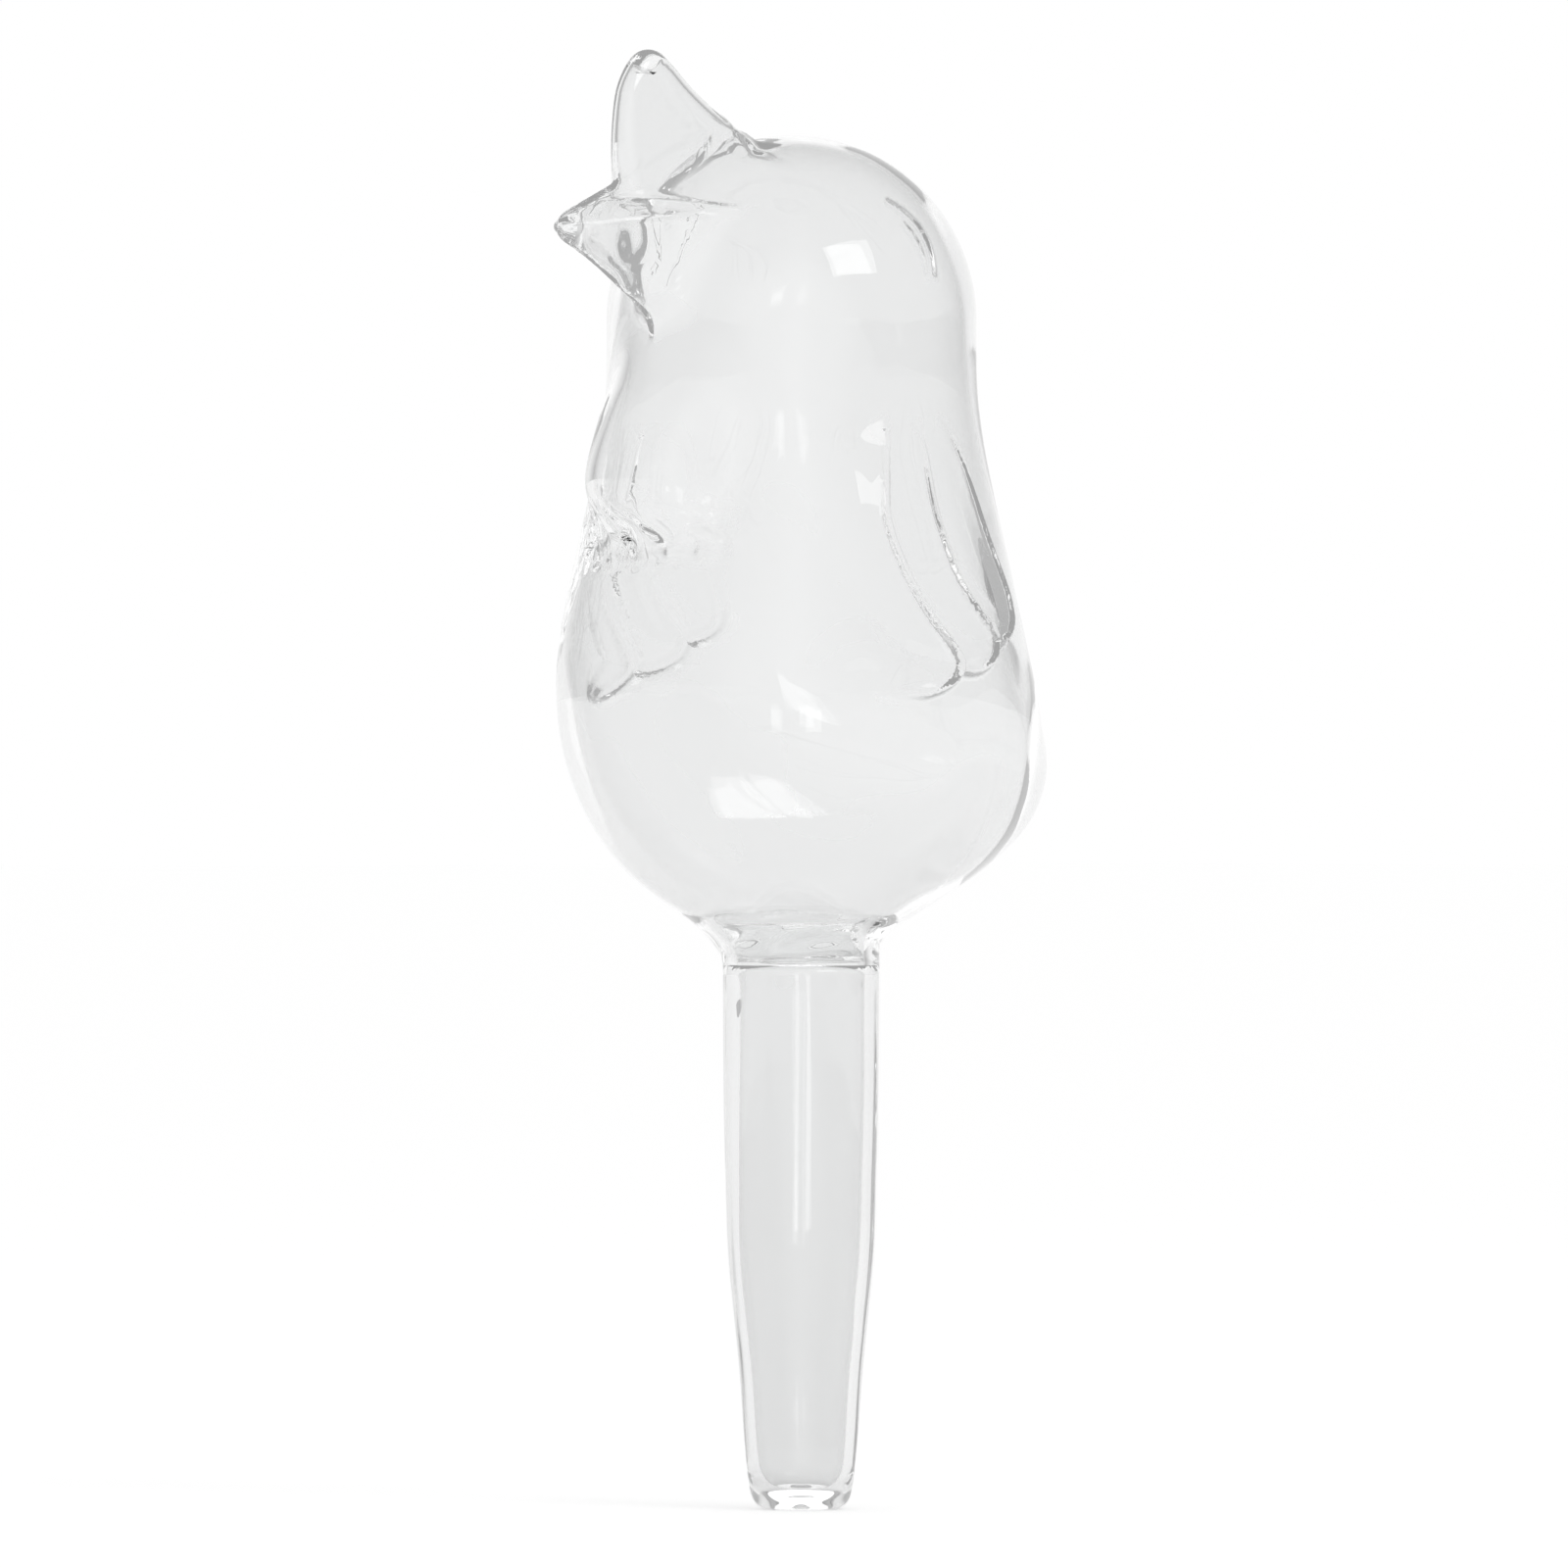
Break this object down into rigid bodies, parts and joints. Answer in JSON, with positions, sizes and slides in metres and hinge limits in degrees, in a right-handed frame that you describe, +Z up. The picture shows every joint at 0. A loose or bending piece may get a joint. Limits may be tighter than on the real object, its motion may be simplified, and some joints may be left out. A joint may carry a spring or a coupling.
{
  "type": "watering globe",
  "caption": "Hollow clear glass watering globe: a chubby bird-shaped bulb with comb and beak, fused to a tapered drip stem that is pushed into a plant pot.",
  "frame": {"origin": "middle of the drip hole at the stem's tip", "axes": "+Z up the stem to the bird's head, -Y the way the bird faces, +X the bird's left wing"},
  "size_m": [0.064, 0.0833, 0.1856],
  "materials": {
    "clear_glass": "clear colourless blown glass, smooth and glossy"
  },
  "bodies": {
    "root": {"bird_bulb": "clear_glass", "comb": "clear_glass", "beak": "clear_glass", "neck_seal": "clear_glass", "stem_tube": "clear_glass"}
  },
  "joints": []
}
